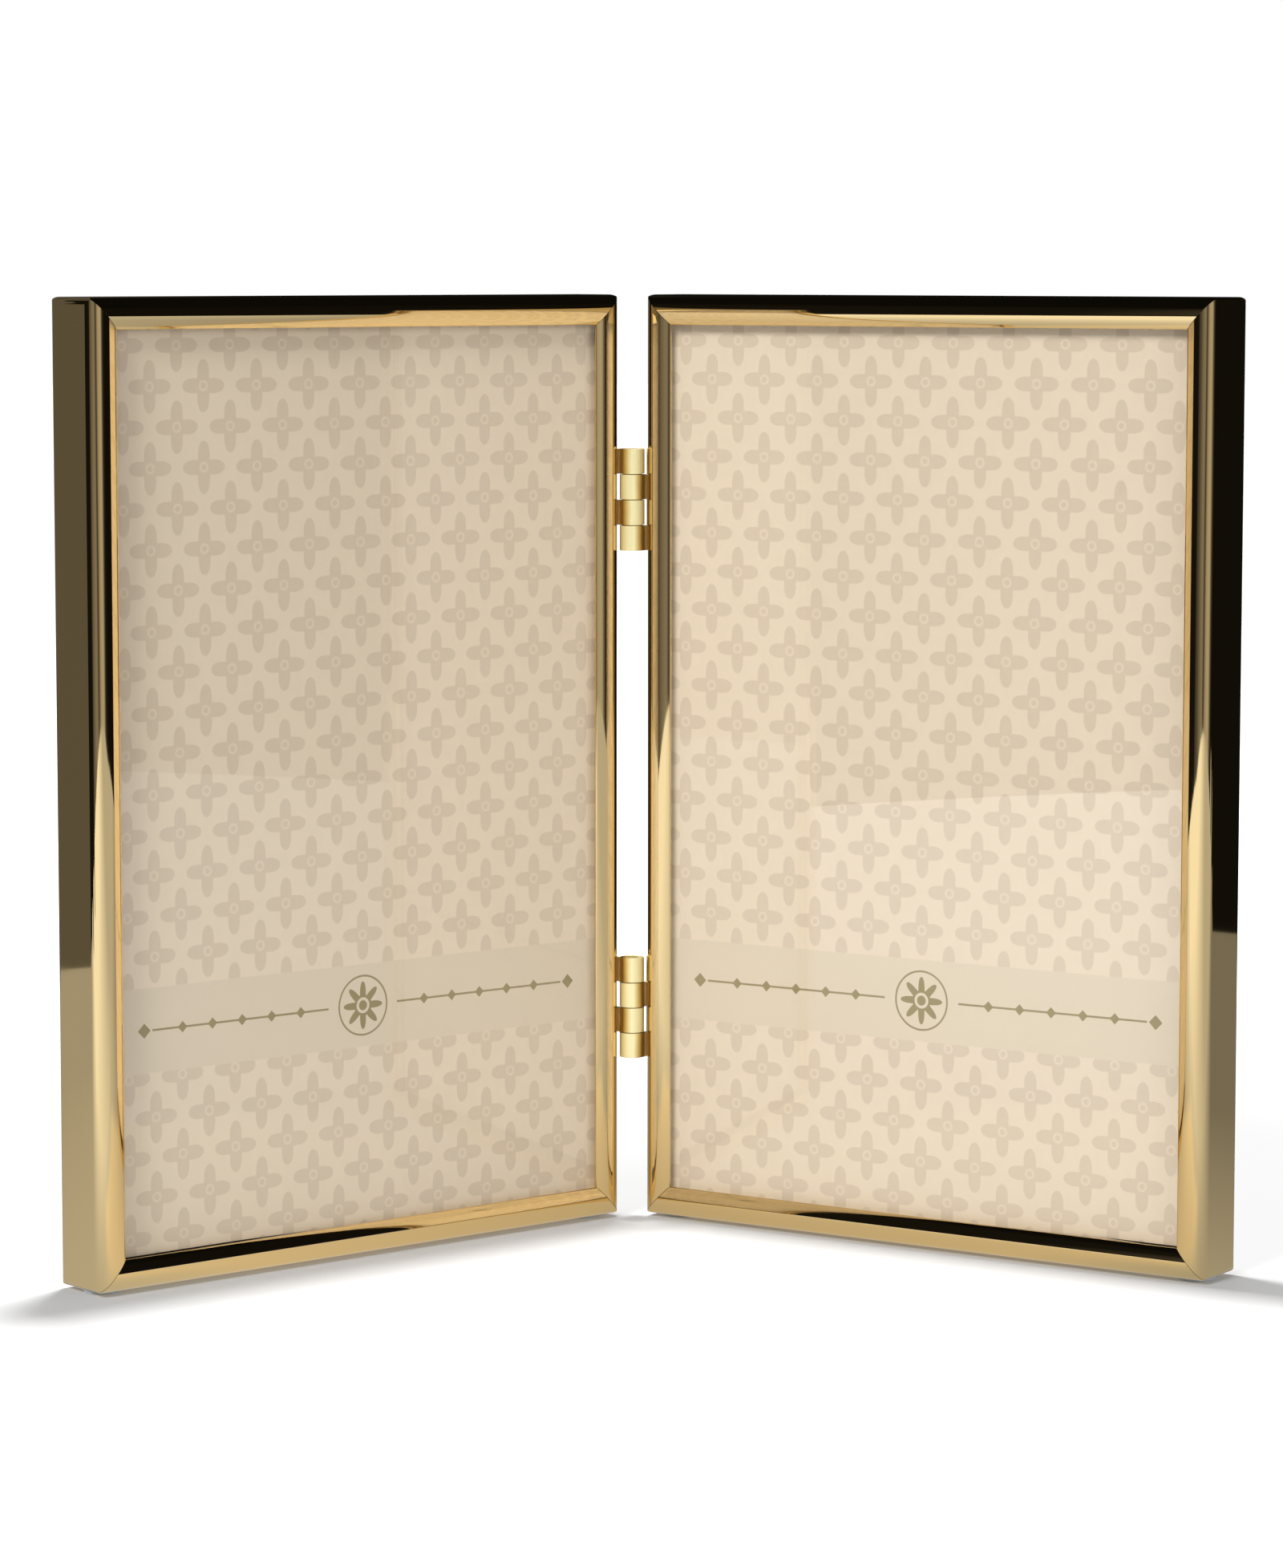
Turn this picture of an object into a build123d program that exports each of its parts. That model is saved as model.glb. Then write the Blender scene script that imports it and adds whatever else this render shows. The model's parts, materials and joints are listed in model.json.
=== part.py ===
from build123d import *
from math import acos, atan2, cos, degrees, radians, sin, sqrt
import os

os.makedirs("parts", exist_ok=True)

# A pair of upright metal photo frames joined by two small hinges.
# X is the width, Y the depth and Z up, with the viewer at negative Y.
# Every panel is drawn on its own front plane: x across, y up, depth behind it.

# Photo and the pack behind it
photo_width = 101.6
photo_height = 152.4
photo_cover = 1.0
pack_clearance = 0.3
glass_thickness = 2.0
glass_edge_chamfer = 0.2
insert_thickness = 0.3
board_thickness = 3.0
velvet_thickness = 0.4

# Rolled rail section
sheet = 0.5
rail_face = 5.2
rail_depth = 12.0
corner_radius = 2.2
crown_radius = 9.0
crown_place_share = 0.5
back_radius = 1.0
outline_radius = 1.2
flange_width = 3.6
mitre_gap = 0.06

# Corner keys inside the rails
key_leg = 14.0
key_clearance = 0.1

# Turn buttons on the back board
button_thickness = 0.7
button_pivot_radius = 3.2
button_tip_radius = 2.2
button_inset = 11.4
button_overlap = 1.7
button_height_share = 0.26
button_edge_radius = 0.15
flange_gap = 0.3
running_fit = 0.05
rivet_fit = 0.05
button_pin_radius = 1.25
button_washer_radius = 2.2
button_washer = 0.2
button_head = 0.45
button_head_round = 0.3
button_shank_radius = 1.0
button_shank_depth = 2.4

# Hinges
panel_swing = 37.0
barrel_radius = 2.15
leaf_thickness = 0.8
leaf_width = 8.2
leaf_corner_radius = 1.0
hinge_height = 17.6
knuckle_count = 4
knuckle_gap = 0.12
knuckle_clearance = 0.3
seam_gap = 0.3
upper_hinge_inset = 35.4
lower_hinge_inset = 36.6
axis_standoff = 0.15
pin_chamfer = 0.25
leaf_rivet_spacing = 10.0
leaf_rivet_level = 5.2
leaf_rivet_radius = 0.9
leaf_rivet_head_radius = 1.5
leaf_rivet_head = 0.35
leaf_rivet_head_round = 0.2
leaf_rivet_tail = 0.5

# Clear pads under the bottom rails
pad_radius = 3.2
pad_height = 0.6
pad_inset = 4.2
pad_chamfer = 0.2

# Sizes that follow from the ones above
panel_width = photo_width + 2 * (rail_face - photo_cover)
panel_height = photo_height + 2 * (rail_face - photo_cover)
crown_place = rail_face * crown_place_share
nose_radius = sheet
nose_place = rail_face - nose_radius
corner_depth = crown_radius - sqrt((crown_radius - corner_radius) ** 2 - (crown_place - corner_radius) ** 2)
nose_depth = crown_radius - sqrt((crown_radius - nose_radius) ** 2 - (nose_place - crown_place) ** 2)
lip_depth = nose_depth + nose_radius
inner_wall = rail_face - photo_cover - pack_clearance
channel_side = inner_wall - sheet

button_back = rail_depth - sheet - flange_gap
button_front = button_back - button_thickness
velvet_back = button_front - running_fit - button_washer
board_back = velvet_back - velvet_thickness
filler_back = board_back - board_thickness
insert_front = lip_depth + glass_thickness
filler_front = insert_front + insert_thickness
filler_thickness = filler_back - filler_front
wall_end = button_front - flange_gap

pin_radius = barrel_radius - leaf_thickness - running_fit
knuckle_pitch = (hinge_height + knuckle_gap) / knuckle_count
knuckle_height = knuckle_pitch - knuckle_gap

# The hinge axis stands where the whole object is centred front to back
swing = radians(panel_swing)
corner_reach = barrel_radius + panel_width - corner_radius
front_reach = (axis_standoff + corner_depth) * cos(swing) - corner_reach * sin(swing) - corner_radius
back_reach = (
    (axis_standoff + rail_depth - back_radius) * cos(swing)
    - (barrel_radius + back_radius) * sin(swing)
    + back_radius
)
axis_y = -(front_reach + back_reach) / 2
middle_level = pad_height + panel_height / 2


def save(piece, label):
    piece.part.label = label
    export_step(piece.part, f"parts/{label}.step")


def across(side):
    # Unit vector to the right along a panel, seen from its front
    return Vector(cos(swing), -side * sin(swing), 0)


def behind(side):
    # Unit vector straight back through a panel
    return Vector(side * sin(swing), cos(swing), 0)


def axis_plane(side, level):
    # Level plane on the hinge axis, x along the panel and y back through it
    return Plane(origin=(0, axis_y, level), x_dir=across(side), z_dir=(0, 0, 1))


def front_plane(side):
    # Front plane of a panel, on its crown, with its origin at the panel's middle
    middle = side * (barrel_radius + panel_width / 2)
    origin = Vector(0, axis_y, middle_level) + across(side) * middle + behind(side) * axis_standoff
    return Plane(origin=origin, x_dir=across(side), z_dir=-behind(side))


def hinge_wall_plane(side, level):
    # Outer face of a panel's hinge wall, x back from the crown, facing the hinge
    wall = side * barrel_radius
    origin = Vector(0, axis_y, level) + across(side) * wall + behind(side) * axis_standoff
    return Plane(origin=origin, x_dir=behind(side), z_dir=across(side) * -side)


def rail_section_plane(front, middle, turn):
    # Section plane of a rail, x from its outer face inward and y back from its crown
    inward = front.y_dir.rotate(Axis((0, 0, 0), front.z_dir), turn)
    origin = front.from_local_coords(Vector(*middle, 0))
    return Plane(origin=origin, x_dir=inward, z_dir=inward.cross(-front.z_dir))


# One strip of sheet: back flange, side wall, crowned face, folded lip, seat and inner wall
corner_angle = 360 + degrees(atan2(corner_depth - crown_radius, corner_radius - crown_place))
nose_angle = 360 + degrees(atan2(nose_depth - crown_radius, nose_place - crown_place))
channel_angle = 360 - degrees(acos((channel_side - crown_place) / (crown_radius - sheet)))
with BuildSketch() as rail_section:
    with BuildLine():
        back_centre = (back_radius, rail_depth - back_radius)
        corner_centre = (corner_radius, corner_depth)
        crown_centre = (crown_place, crown_radius)
        nose_centre = (nose_place, nose_depth)
        outer_back = CenterArc(back_centre, back_radius, 90, 90)
        outer_corner = CenterArc(corner_centre, corner_radius, 180, corner_angle - 180)
        CenterArc(crown_centre, crown_radius, corner_angle, nose_angle - corner_angle)
        nose = CenterArc(nose_centre, nose_radius, nose_angle, 450 - nose_angle)
        inner_sweep = channel_angle - corner_angle
        inner_crown = CenterArc(crown_centre, crown_radius - sheet, corner_angle, inner_sweep)
        inner_corner = CenterArc(corner_centre, corner_radius - sheet, 180, corner_angle - 180)
        inner_back = CenterArc(back_centre, back_radius - sheet, 90, 90)
        Line(outer_back @ 1, outer_corner @ 0)
        Polyline(
            nose @ 1,
            (inner_wall, lip_depth),
            (inner_wall, wall_end),
            (channel_side, wall_end),
            inner_crown @ 1,
        )
        Line(inner_corner @ 0, inner_back @ 1)
        Polyline(
            inner_back @ 0,
            (flange_width, rail_depth - sheet),
            (flange_width, rail_depth),
            outer_back @ 0,
        )
    make_face()

half_width = panel_width / 2
half_height = panel_height / 2
hinge_levels = {
    "upper": pad_height + panel_height - upper_hinge_inset,
    "lower": pad_height + lower_hinge_inset,
}
rivet_marks = [(leaf_rivet_level, -leaf_rivet_spacing / 2), (leaf_rivet_level, leaf_rivet_spacing / 2)]

pivot_x = half_width - button_inset
pivot_y = panel_height * (1 / 2 - button_height_share)
pivots = {
    "outer_upper": (1, 1),
    "outer_lower": (1, -1),
    "hinge_upper": (-1, 1),
    "hinge_lower": (-1, -1),
}
button_reach = button_inset - flange_width + button_overlap

for panel, side in {"left": -1, "right": 1}.items():
    front = front_plane(side)
    pivot_places = [(side * px * pivot_x, py * pivot_y) for px, py in pivots.values()]

    # Four mitred rails, each given by its middle, its turn from the bottom one and its length
    rails = {
        "bottom_rail": ((0, -half_height), 0, panel_width),
        "top_rail": ((0, half_height), 180, panel_width),
        "outer_stile": ((side * half_width, 0), side * 90, panel_height),
        "hinge_stile": ((-side * half_width, 0), -side * 90, panel_height),
    }
    for rail_name, (middle, turn, length) in rails.items():
        with BuildPart() as rail:
            with BuildSketch(rail_section_plane(front, middle, turn)):
                add(rail_section.sketch)
            extrude(amount=length / 2, both=True)
            with BuildSketch(front):
                RectangleRounded(panel_width, panel_height, outline_radius)
                with Locations(middle):
                    Trapezoid(
                        length - 2 * mitre_gap,
                        rail_face,
                        45,
                        rotation=turn,
                        align=(Align.CENTER, Align.MIN),
                        mode=Mode.INTERSECT,
                    )
            extrude(amount=-rail_depth, mode=Mode.INTERSECT)
            if rail_name == "hinge_stile":
                for level in hinge_levels.values():
                    with BuildSketch(hinge_wall_plane(side, level)):
                        with Locations(*rivet_marks):
                            Circle(leaf_rivet_radius + rivet_fit)
                    extrude(amount=-sheet, mode=Mode.SUBTRACT)
        save(rail, f"{panel}_{rail_name}")

    # L-shaped keys pressed into the rail channels at the four corners
    key_outer = sheet + key_clearance
    key_inner = channel_side - key_clearance
    key_end = key_outer + key_leg
    with BuildPart() as corner_keys:
        with BuildSketch(front.offset(-corner_depth)):
            for sx, sy in [(1, 1), (-1, 1), (-1, -1), (1, -1)]:
                with BuildLine():
                    Polyline(
                        (sx * (half_width - key_outer), sy * (half_height - key_outer)),
                        (sx * (half_width - key_end), sy * (half_height - key_outer)),
                        (sx * (half_width - key_end), sy * (half_height - key_inner)),
                        (sx * (half_width - key_inner), sy * (half_height - key_inner)),
                        (sx * (half_width - key_inner), sy * (half_height - key_end)),
                        (sx * (half_width - key_outer), sy * (half_height - key_end)),
                        close=True,
                    )
                make_face()
        extrude(amount=-(wall_end - corner_depth))
    save(corner_keys, f"{panel}_corner_keys")

    # Glass, printed insert and filler card, held against the lip
    with BuildPart() as glass:
        with BuildSketch(front.offset(-lip_depth)):
            Rectangle(photo_width, photo_height)
        extrude(amount=-glass_thickness)
        chamfer(glass.edges(), length=glass_edge_chamfer)
    save(glass, f"{panel}_glass")

    with BuildPart() as insert:
        with BuildSketch(front.offset(-insert_front)):
            Rectangle(photo_width, photo_height)
        extrude(amount=-insert_thickness)
    save(insert, f"{panel}_photo_insert")

    with BuildPart() as filler:
        with BuildSketch(front.offset(-filler_front)):
            Rectangle(photo_width, photo_height)
        extrude(amount=-filler_thickness)
    save(filler, f"{panel}_filler_card")

    # Backing board with its velvet face, drilled for the button rivets
    with BuildPart() as board:
        with BuildSketch(front.offset(-filler_back)):
            Rectangle(photo_width, photo_height)
        extrude(amount=-board_thickness)
        with BuildSketch(front.offset(-board_back)):
            with Locations(*pivot_places):
                Circle(button_shank_radius + rivet_fit)
        extrude(amount=board_thickness, mode=Mode.SUBTRACT)
    save(board, f"{panel}_backing_board")

    with BuildPart() as velvet:
        with BuildSketch(front.offset(-board_back)):
            Rectangle(photo_width, photo_height)
            with Locations(*pivot_places):
                Circle(button_shank_radius + rivet_fit, mode=Mode.SUBTRACT)
        extrude(amount=-velvet_thickness)
    save(velvet, f"{panel}_velvet_cover")

    # Rivets that hold the turn buttons: shank, washer, pin and rounded head
    with BuildPart() as button_rivets:
        with BuildSketch(front.offset(button_shank_depth - velvet_back)):
            with Locations(*pivot_places):
                Circle(button_shank_radius)
        extrude(amount=-button_shank_depth)
        with BuildSketch(front.offset(-velvet_back)):
            with Locations(*pivot_places):
                Circle(button_washer_radius)
        extrude(amount=-button_washer)
        with BuildSketch(front.offset(-velvet_back - button_washer)):
            with Locations(*pivot_places):
                Circle(button_pin_radius)
        extrude(amount=-(button_thickness + 2 * running_fit))
        with BuildSketch(front.offset(-button_back - running_fit)):
            with Locations(*pivot_places):
                Circle(button_washer_radius)
        extrude(amount=-button_head)
        head_rims = button_rivets.edges().group_by(Axis(front.origin, behind(side)))[-1]
        fillet(head_rims, radius=button_head_round)
    save(button_rivets, f"{panel}_button_rivets")

    # Turn buttons, with their tips under the back flange
    for (pivot_name, (px, py)), place in zip(pivots.items(), pivot_places):
        tip = side * px * (button_reach - button_tip_radius)
        with BuildPart() as button:
            with BuildSketch(front.offset(-button_front)):
                with Locations(place):
                    Circle(button_pivot_radius)
                with Locations((place[0] + tip, place[1])):
                    Circle(button_tip_radius)
                make_hull()
                with Locations(place):
                    Circle(button_pin_radius + running_fit, mode=Mode.SUBTRACT)
            extrude(amount=-button_thickness)
            flat_faces = button.faces().filter_by(front)
            rims = [edge for face in flat_faces for edge in face.outer_wire().edges()]
            fillet(rims, radius=button_edge_radius)
        save(button, f"{panel}_{pivot_name}_button")

    # Two clear pads under the bottom rail
    with BuildPart() as pads:
        with BuildSketch(Plane(origin=(0, 0, pad_height))):
            for px in [-1, 1]:
                spot = front.from_local_coords(Vector(px * (half_width - pad_inset), 0, -rail_depth / 2))
                with Locations((spot.X, spot.Y)):
                    Circle(pad_radius)
        extrude(amount=-pad_height)
        chamfer(pads.edges().group_by(Axis.Z)[0], length=pad_chamfer)
    save(pads, f"{panel}_foot_pads")

    # Rivets of both hinge leaves: rounded head, shank and tail clinched in the channel
    with BuildPart() as leaf_rivets:
        for level in hinge_levels.values():
            wall = hinge_wall_plane(side, level)
            with BuildSketch(wall.offset(leaf_thickness)):
                with Locations(*rivet_marks):
                    Circle(leaf_rivet_head_radius)
            extrude(amount=leaf_rivet_head)
            with BuildSketch(wall.offset(leaf_thickness)):
                with Locations(*rivet_marks):
                    Circle(leaf_rivet_radius)
            extrude(amount=-(leaf_thickness + sheet))
            with BuildSketch(wall.offset(-sheet)):
                with Locations(*rivet_marks):
                    Circle(leaf_rivet_head_radius)
            extrude(amount=-leaf_rivet_tail)
        head_rims = leaf_rivets.edges().group_by(Axis(wall.origin, wall.z_dir))[-1]
        fillet(head_rims, radius=leaf_rivet_head_round)
    save(leaf_rivets, f"{panel}_hinge_rivets")

    # One leaf of each hinge, with every second knuckle rolled from it
    own_turn = 0 if panel == "left" else 1
    for hinge, level in hinge_levels.items():
        top_level = level + hinge_height / 2
        with BuildPart() as leaf:
            with BuildSketch(axis_plane(side, level - hinge_height / 2)):
                with Locations((side * (barrel_radius - leaf_thickness / 2), 0)):
                    Rectangle(leaf_thickness, leaf_width, align=(Align.CENTER, Align.MIN))
            extrude(amount=hinge_height)
            for turn in range(knuckle_count):
                knuckle_bottom = top_level - turn * knuckle_pitch - knuckle_height
                if turn % 2 == own_turn:
                    with BuildSketch(axis_plane(side, knuckle_bottom)):
                        Circle(barrel_radius)
                    extrude(amount=knuckle_height)
                else:
                    reach = barrel_radius + knuckle_clearance
                    notch_bottom = max(knuckle_bottom - knuckle_gap, level - hinge_height / 2)
                    notch_top = min(knuckle_bottom + knuckle_height + knuckle_gap, top_level)
                    with BuildSketch(axis_plane(side, notch_bottom)):
                        Rectangle(2 * reach, 2 * reach)
                    extrude(amount=notch_top - notch_bottom, mode=Mode.SUBTRACT)
            with BuildSketch(axis_plane(side, level - hinge_height / 2)):
                Circle(barrel_radius - leaf_thickness)
                seam_x = side * (barrel_radius - leaf_thickness - seam_gap / 2)
                with Locations((seam_x, 0)):
                    Rectangle(seam_gap, barrel_radius, align=(Align.CENTER, Align.MIN))
            extrude(amount=hinge_height, mode=Mode.SUBTRACT)
            with BuildSketch(hinge_wall_plane(side, level)):
                with Locations(*rivet_marks):
                    Circle(leaf_rivet_radius + rivet_fit)
            extrude(amount=leaf_thickness, mode=Mode.SUBTRACT)
            tail_edges = leaf.edges().filter_by(Axis(front.origin, across(side)))
            fillet(tail_edges.group_by(Axis(front.origin, behind(side)))[-1], radius=leaf_corner_radius)
        save(leaf, f"{hinge}_hinge_{panel}_leaf")

# Hinge pins through all the knuckles
for hinge, level in hinge_levels.items():
    with BuildPart() as pin:
        with BuildSketch(Plane(origin=(0, axis_y, level - hinge_height / 2))):
            Circle(pin_radius)
        extrude(amount=hinge_height)
        chamfer(pin.edges().filter_by(GeomType.CIRCLE), length=pin_chamfer)
    save(pin, f"{hinge}_hinge_pin")
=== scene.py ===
import json
from math import atan2, cos, degrees, pi, radians, sin, sqrt

import bmesh
import bpy
from mathutils import Matrix, Vector


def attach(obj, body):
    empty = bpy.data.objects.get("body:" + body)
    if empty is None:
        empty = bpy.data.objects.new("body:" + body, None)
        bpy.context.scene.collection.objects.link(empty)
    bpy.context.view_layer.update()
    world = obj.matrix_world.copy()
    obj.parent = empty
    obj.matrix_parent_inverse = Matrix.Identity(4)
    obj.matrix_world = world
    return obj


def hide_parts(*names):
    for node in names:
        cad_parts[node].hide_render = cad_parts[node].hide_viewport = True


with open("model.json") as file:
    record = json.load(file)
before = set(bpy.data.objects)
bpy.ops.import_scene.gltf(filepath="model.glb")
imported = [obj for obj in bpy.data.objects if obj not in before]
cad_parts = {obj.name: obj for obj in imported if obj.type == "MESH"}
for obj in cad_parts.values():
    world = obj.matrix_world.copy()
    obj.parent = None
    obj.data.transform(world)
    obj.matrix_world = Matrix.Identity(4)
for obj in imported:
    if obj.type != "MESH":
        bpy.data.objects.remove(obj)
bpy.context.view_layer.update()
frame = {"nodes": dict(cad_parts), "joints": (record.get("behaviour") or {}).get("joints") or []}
mm = 0.001

# Where the two panels stand: x runs along a panel, y up it and z out of its front
joints = {joint["name"]: joint for joint in frame["joints"]}
foldAxis = Vector(joints["fold"]["pos_m"])
backward = Vector(joints["right_outer_upper_button_turn"]["axis"])
swing = atan2(backward.x, backward.y)
sides = {"left": -1, "right": 1}

panelSizes = {
    "width": 110.0,
    "height": 160.8,
    "barrelRadius": 2.15,
    "standoff": 0.15,  # from the hinge axis back to the crown of the rails
    "padHeight": 0.6,
}


def panelMatrix(side):
    # From a panel's own millimetres to the shared frame
    across = Vector((cos(swing), -side * sin(swing), 0))
    behind = Vector((side * sin(swing), cos(swing), 0))
    reach = side * (panelSizes["barrelRadius"] + panelSizes["width"] / 2)
    offset = across * reach + behind * panelSizes["standoff"]
    middle = Vector((foldAxis.x, foldAxis.y, 0)) + offset * mm
    middle.z = (panelSizes["padHeight"] + panelSizes["height"] / 2) * mm
    turn = Matrix((across, Vector((0, 0, 1)), -behind)).transposed().to_4x4()
    return Matrix.Translation(middle) @ turn @ Matrix.Scale(mm, 4)


def letGo():
    if bpy.context.object and bpy.context.object.mode != "OBJECT":
        bpy.ops.object.mode_set(mode="OBJECT")
    bpy.ops.object.select_all(action="DESELECT")


def takeUp(*pieces):
    letGo()
    for piece in pieces:
        piece.select_set(True)
    bpy.context.view_layer.objects.active = pieces[-1]


def edit(piece):
    takeUp(piece)
    bpy.ops.object.mode_set(mode="EDIT")
    bpy.ops.mesh.select_mode(type="VERT")


def pickEdges(piece, test):
    # Selects the edges whose two ends pass the test
    bpy.ops.mesh.select_mode(type="EDGE")
    bpy.ops.mesh.select_all(action="DESELECT")
    mesh = bmesh.from_edit_mesh(piece.data)
    for edge in [e for e in mesh.edges if test(e.verts[0].co, e.verts[1].co)]:
        edge.select_set(True)
    bmesh.update_edit_mesh(piece.data)


def named(piece, name):
    piece.name = name
    piece.data.name = name
    return piece


def penDown(name, place):
    # One vertex in edit mode, to be drawn out into a section
    letGo()
    bpy.ops.mesh.primitive_plane_add(size=1)
    piece = named(bpy.context.object, name)
    bpy.ops.object.mode_set(mode="EDIT")
    bpy.ops.mesh.select_mode(type="VERT")
    bpy.ops.mesh.merge(type="CENTER")
    bpy.ops.transform.translate(value=place)
    return piece


def lineTo(piece, y, z):
    # Draws from the pen straight to y, z
    pen = next(v for v in bmesh.from_edit_mesh(piece.data).verts if v.select)
    move = (0, y - pen.co.y, z - pen.co.z)
    bpy.ops.mesh.extrude_region_move(TRANSFORM_OT_translate={"value": move})


def arcTo(piece, centre, turn, steps):
    # Spins the pen about a line along X, through centre, by turn degrees
    x = next(v for v in bmesh.from_edit_mesh(piece.data).verts if v.select).co.x
    bpy.ops.mesh.spin(steps=steps, angle=radians(-turn), center=(x, *centre), axis=(1, 0, 0))


def addModifier(piece, kind, **settings):
    modifier = piece.modifiers.new(kind.title(), kind)
    for name, value in settings.items():
        setattr(modifier, name, value)


def applyModifiers(piece):
    takeUp(piece)
    for modifier in list(piece.modifiers):
        bpy.ops.object.modifier_apply(modifier=modifier.name)


def fixPlace(piece):
    # Keeps a piece's place, turn and scale in its mesh
    takeUp(piece)
    bpy.ops.object.transform_apply(location=True, rotation=True, scale=True)
    return piece


def lower(piece, matrix):
    # Puts a piece in its place
    piece.matrix_world = matrix
    return fixPlace(piece)


def settle(piece, matrix):
    # Puts a finished piece in its place and smooths its shading
    lower(piece, matrix)
    bpy.ops.object.shade_smooth_by_angle(angle=radians(32))
    addModifier(piece, "WEIGHTED_NORMAL", keep_sharp=True, weight=90)
    applyModifiers(piece)


def hand(piece, body, material, node):
    # Gives a piece to its body, its slot and its material, and hides the node it stands for
    piece.data.materials.clear()
    piece.data.materials.append(material)
    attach(piece, body)
    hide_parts(node)


# Shader maths: a wire is an output of a node that Python sums can use
class Wire:
    def __init__(self, tree, socket=None):
        self.tree = tree
        self.socket = socket

    def put(self, kind, settings=None, sockets=None, output=0):
        node = self.tree.nodes.new(kind)
        for name, value in (settings or {}).items():
            if name == "stops":
                fillRamp(node.color_ramp, value)
            else:
                setattr(node, name, value)
        for name, value in (sockets or {}).items():
            if isinstance(value, Wire):
                self.tree.links.new(value.socket, node.inputs[name])
            else:
                node.inputs[name].default_value = value
        return Wire(self.tree, node.outputs[output] if node.outputs else None)

    def maths(self, operation, *values):
        return self.put("ShaderNodeMath", {"operation": operation}, dict(enumerate(values)))

    def __add__(self, other):
        return self.maths("ADD", self, other)

    __radd__ = __add__

    def __sub__(self, other):
        return self.maths("SUBTRACT", self, other)

    def __rsub__(self, other):
        return self.maths("SUBTRACT", other, self)

    def __mul__(self, other):
        return self.maths("MULTIPLY", self, other)

    __rmul__ = __mul__

    def __truediv__(self, other):
        return self.maths("DIVIDE", self, other)

    def __pow__(self, other):
        return self.maths("POWER", self, other)

    def __abs__(self):
        return self.maths("ABSOLUTE", self)

    def most(self, other):
        return self.maths("MAXIMUM", self, other)

    def below(self, edge, blur):
        # 1 where the value is under edge, 0 over it, with a soft step
        start, end = edge - blur / 2, edge + blur / 2
        sockets = {"Value": self, "From Min": start, "From Max": end, "To Min": 1.0, "To Max": 0.0}
        return self.put("ShaderNodeMapRange", {"interpolation_type": "SMOOTHSTEP"}, sockets)

    def ramp(self, low, high, start, end):
        # start at low and end at high, straight between them and level beyond
        sockets = {"Value": self, "From Min": low, "From Max": high, "To Min": start, "To Max": end}
        return self.put("ShaderNodeMapRange", {"clamp": True}, sockets)

    def within(self, low, high, blur):
        # 1 between low and high, 0 outside, with soft steps
        return self.below(high, blur) * (1 - self.below(low, blur))

    def mixed(self, first, second):
        # A colour between two, by this value
        sockets = {"Factor": self, "A": first, "B": second}
        return self.put("ShaderNodeMix", {"data_type": "RGBA"}, sockets).colour()

    def times(self, other):
        # This colour multiplied by another
        settings = {"data_type": "RGBA", "blend_type": "MULTIPLY"}
        return self.put("ShaderNodeMix", settings, {"Factor": 1.0, "A": self, "B": other}).colour()

    def colour(self):
        # The colour output of the same node
        node = self.socket.node
        return Wire(self.tree, next(o for o in node.outputs if o.type == "RGBA"))


def fillRamp(ramp, stops):
    while len(ramp.elements) > 1:
        ramp.elements.remove(ramp.elements[-1])
    for index, (place, colour) in enumerate(stops):
        element = ramp.elements[0] if index == 0 else ramp.elements.new(place)
        element.position = place
        element.color = (*colour, 1.0)


def newMaterial(name):
    material = bpy.data.materials.new(name)
    material.use_nodes = True
    material.node_tree.nodes.clear()
    return material, Wire(material.node_tree)


def close(wire, surface):
    wire.put("ShaderNodeOutputMaterial", {}, {"Surface": surface})


# Camera, as the photograph was taken: place and lens in millimetres, the rest in degrees
cameraSizes = {
    "place": (-50.8, -845.5, 167.3),
    "lens": 115.96,
    "yaw": -3.432,
    "pitch": 5.923,
    "roll": 0.037,
}


def makeCamera(c):
    letGo()
    bpy.ops.object.camera_add(location=[value * mm for value in c["place"]])
    camera = bpy.context.object
    turn = Matrix.Rotation(radians(c["yaw"]), 4, "Z")
    tilt = Matrix.Rotation(pi / 2 - radians(c["pitch"]), 4, "X")
    roll = Matrix.Rotation(radians(c["roll"]), 4, "Z")
    camera.matrix_world = Matrix.Translation(camera.location) @ turn @ tilt @ roll
    camera.data.lens = c["lens"]
    camera.data.clip_start = 0.01
    bpy.context.scene.camera = camera


makeCamera(cameraSizes)
print("camera placed")


def panelCoordinates(wire, side):
    # x and y of a panel, in millimetres, from the object's own coordinates
    place = wire.put("ShaderNodeTexCoord", output="Object")
    middle = panelMatrix(side).to_translation()
    reach = wire.put("ShaderNodeVectorMath", {"operation": "SUBTRACT"}, {0: place, 1: middle})
    axes = panelMatrix(side).to_3x3().normalized().transposed()[:2]
    return [
        wire.put("ShaderNodeVectorMath", {"operation": "DOT_PRODUCT"}, {0: reach, 1: axis}, "Value") / mm
        for axis in axes
    ]


def objectNoise(wire, scale, detail=3.0, stretch=(1, 1, 1)):
    place = wire.put("ShaderNodeTexCoord", output="Object")
    stretched = wire.put("ShaderNodeMapping", {}, {"Vector": place, "Scale": stretch})
    sockets = {"Vector": stretched, "Scale": scale, "Detail": detail}
    return wire.put("ShaderNodeTexNoise", {}, sockets, "Fac")


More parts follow.
